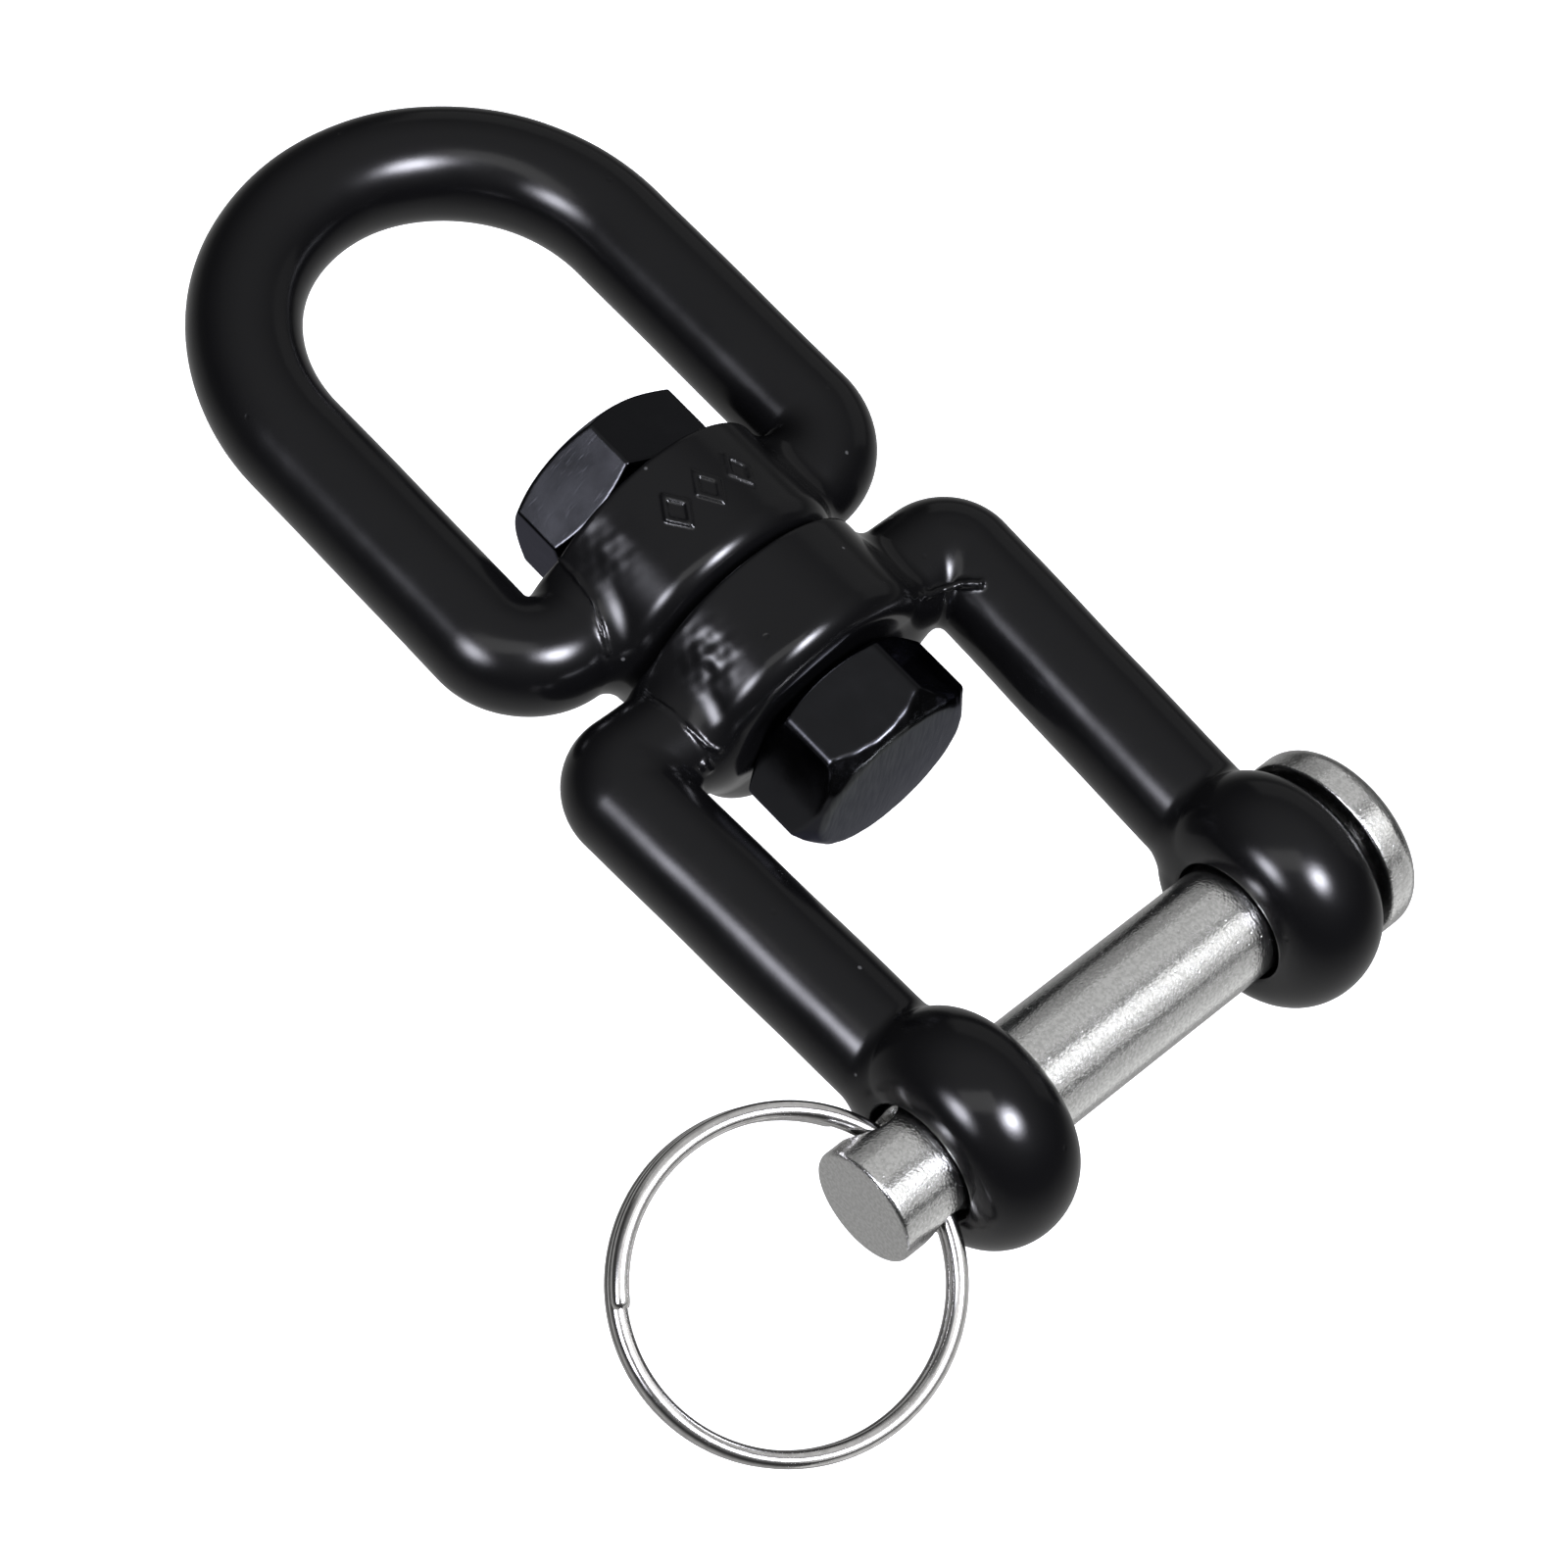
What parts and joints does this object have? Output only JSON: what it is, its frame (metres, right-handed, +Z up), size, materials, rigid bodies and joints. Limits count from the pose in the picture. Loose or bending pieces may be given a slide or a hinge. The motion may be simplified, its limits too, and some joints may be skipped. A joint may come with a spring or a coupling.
{
  "type": "swivel hoist ring",
  "caption": "Eye and jaw swivel: a cast eye and a cast jaw turning on a hexagon bolt, with a clevis pin held by a split ring.",
  "frame": {"origin": "centre of the eye's bow, in the middle plane of the eye", "axes": "+X along the swivel axis from the eye to the jaw, +Y towards the clevis pin's head, +Z up, square to the plane of the eye and the jaw"},
  "size_m": [0.0921, 0.06, 0.0186],
  "materials": {
    "black_coating": "gloss black coating on a casting",
    "dark_fastener": "satin black machined",
    "bright_steel": "ground stainless",
    "ring_wire": "bright drawn wire"
  },
  "bodies": {
    "eye": {"eye": "black_coating"},
    "bolt": {"swivel_bolt": "dark_fastener", "swivel_nut": "dark_fastener"},
    "jaw": {"jaw": "black_coating"},
    "pin": {"clevis_pin": "bright_steel"},
    "ring": {"split_ring": "ring_wire"}
  },
  "joints": [
    {"name": "bolt_turn", "type": "hinge", "parent": "eye", "child": "bolt", "pos_m": [0.023, 0, 0], "axis": [1, 0, 0], "continuous": true},
    {"name": "jaw_swivel", "type": "hinge", "parent": "bolt", "child": "jaw", "pos_m": [0.0318, 0, 0], "axis": [1, 0, 0], "continuous": true},
    {"name": "pin_turn", "type": "hinge", "parent": "jaw", "child": "pin", "pos_m": [0.0632, 0, 0], "axis": [0, 1, 0], "continuous": true},
    {"name": "ring_swing", "type": "hinge", "parent": "pin", "child": "ring", "pos_m": [0.0632, -0.0186, 0], "axis": [0.9397, 0, -0.342], "range_deg": [-60, 15]}
  ]
}
